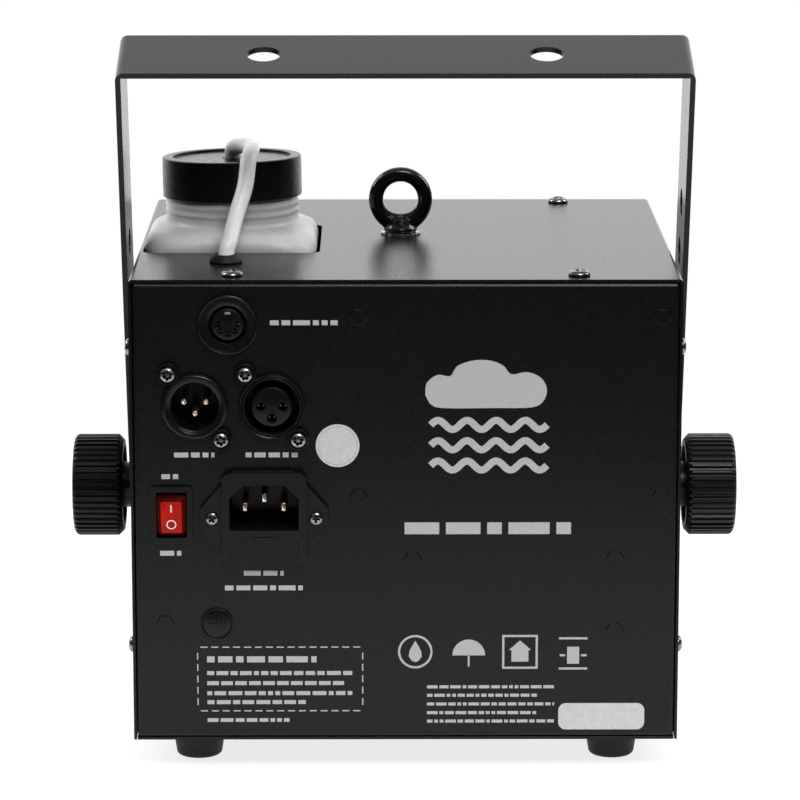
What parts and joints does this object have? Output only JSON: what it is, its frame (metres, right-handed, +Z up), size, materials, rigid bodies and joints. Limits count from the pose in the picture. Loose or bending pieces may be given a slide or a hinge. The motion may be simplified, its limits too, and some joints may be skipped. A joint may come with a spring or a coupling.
{
  "type": "fog machine",
  "caption": "Compact fog machine: black steel case with lid fluid bottle, tilting yoke with two knobs, eyebolt, mains inlet, control sockets and front nozzle",
  "frame": {"origin": "on the floor under the middle of the case, in the plane of the feet", "axes": "+Z up; -Y is the connector panel and +Y the nozzle panel; +X is to the right when looking at the connector panel; the yoke pivots about X"},
  "size_m": [0.2536, 0.2004, 0.2637],
  "materials": {
    "powder_coat": "fine textured black powder coat",
    "yoke_coat": "fine textured black powder coat, satin",
    "black_plastic": "moulded black plastic",
    "gloss_black": "gloss black enamel",
    "black_rubber": "matt moulded rubber",
    "zinc_steel": "bright zinc plated steel",
    "dark_steel": "black nickel plated steel",
    "galvanised": "galvanised sheet",
    "brass": "turned brass",
    "gilt_contacts": "gold plated contacts",
    "red_rocker": "translucent red rocker",
    "milky_plastic": "translucent blow moulded polyethylene",
    "silicone": "milky silicone",
    "label_film": "plain silver label film",
    "cast_aluminium": "cast aluminium",
    "mineral_fibre": "pressed mineral fibre board",
    "board": "green solder mask",
    "wire_cover": "wire insulation",
    "fuse_glass": "clear glass with plated caps"
  },
  "bodies": {
    "case": {"top_cover": "powder_coat", "base_plate": "powder_coat", "rear_panel": "powder_coat", "front_panel": "powder_coat", "case_screws": "dark_steel", "rubber_feet": "black_rubber", "foot_screws": "zinc_steel", "eyebolt": "gloss_black", "eyebolt_washer": "dark_steel", "eyebolt_nut": "zinc_steel", "xlr_in_shell": "black_plastic", "xlr_in_pins": "gilt_contacts", "xlr_out_shell": "black_plastic", "xlr_out_insert": "black_plastic", "xlr_screws": "dark_steel", "din_shell": "black_plastic", "din_insert": "black_plastic", "switch_housing": "black_plastic", "inlet_body": "black_plastic", "inlet_pins": "zinc_steel", "inlet_screws": "dark_steel", "earth_stud": "powder_coat", "panel_studs": "powder_coat", "blank_labels": "label_film", "bottle_cradle": "galvanised", "bottle": "milky_plastic", "fluid_tube": "silicone", "tube_grommet": "black_rubber", "pickup_filter": "brass", "pump_coil": "black_plastic", "pump_body": "brass", "pump_spring": "zinc_steel", "pump_bracket": "galvanised", "heater_block": "cast_aluminium", "heater_jacket": "mineral_fibre", "heater_straps": "galvanised", "thermostat": "zinc_steel", "nozzle": "brass", "feed_pipe": "silicone", "control_board": "board", "power_board": "board", "fan_frame": "black_plastic", "fan_guard": "zinc_steel", "fan_screws": "zinc_steel", "wiring": "wire_cover", "friction_washers": "black_rubber", "pivot_inserts": "zinc_steel"},
    "yoke": {"yoke": "yoke_coat"},
    "rocker": {"switch_rocker": "red_rocker"},
    "drawer": {"fuse_drawer": "black_plastic", "fuse_link": "fuse_glass"},
    "cap": {"bottle_cap": "black_plastic"},
    "rotor": {"fan_rotor": "black_plastic"},
    "plunger": {"pump_plunger": "zinc_steel"},
    "left_washer": {"knob_washer_left": "black_plastic"},
    "left_knob": {"knob_left": "black_plastic", "knob_stud_left": "zinc_steel"},
    "right_washer": {"knob_washer_right": "black_plastic"},
    "right_knob": {"knob_right": "black_plastic", "knob_stud_right": "zinc_steel"}
  },
  "joints": [
    {"name": "yoke_tilt", "type": "hinge", "parent": "case", "child": "yoke", "pos_m": [0, -0.003, 0.086], "axis": [1, 0, 0], "range_deg": [-125, 90]},
    {"name": "left_washer_slide", "type": "slide", "parent": "case", "child": "left_washer", "axis": [-1, 0, 0], "range_m": [0, 0.002]},
    {"name": "left_knob_turn", "type": "hinge", "parent": "left_washer", "child": "left_knob", "pos_m": [-0.1046, -0.003, 0.086], "axis": [-1, 0, 0], "range_deg": [0, 720]},
    {"name": "right_washer_slide", "type": "slide", "parent": "case", "child": "right_washer", "axis": [1, 0, 0], "range_m": [0, 0.002]},
    {"name": "right_knob_turn", "type": "hinge", "parent": "right_washer", "child": "right_knob", "pos_m": [0.1046, -0.003, 0.086], "axis": [1, 0, 0], "range_deg": [0, 720]},
    {"name": "rocker_press", "type": "hinge", "parent": "case", "child": "rocker", "pos_m": [-0.0847, -0.0938, 0.0959], "axis": [1, 0, 0], "range_deg": [-18, 0]},
    {"name": "drawer_slide", "type": "slide", "parent": "case", "child": "drawer", "axis": [0, -1, 0], "range_m": [0, 0.02]},
    {"name": "cap_turn", "type": "hinge", "parent": "case", "child": "cap", "pos_m": [-0.0653, -0.0035, 0.2], "axis": [0, 0, 1], "range_deg": [0, 540]},
    {"name": "fan_spin", "type": "hinge", "parent": "case", "child": "rotor", "pos_m": [0.038, 0.08, 0.13], "axis": [0, 1, 0], "continuous": true},
    {"name": "plunger_stroke", "type": "slide", "parent": "case", "child": "plunger", "axis": [0, 0, 1], "range_m": [-0.002, 0.002], "stiffness_N_per_m": 1500, "deforming": ["pump_spring"]}
  ],
  "couplings": [
    {"joint": "left_knob_turn", "follows": "left_washer_slide", "rad_per_m": 6283.2},
    {"joint": "right_knob_turn", "follows": "right_washer_slide", "rad_per_m": 6283.2}
  ]
}
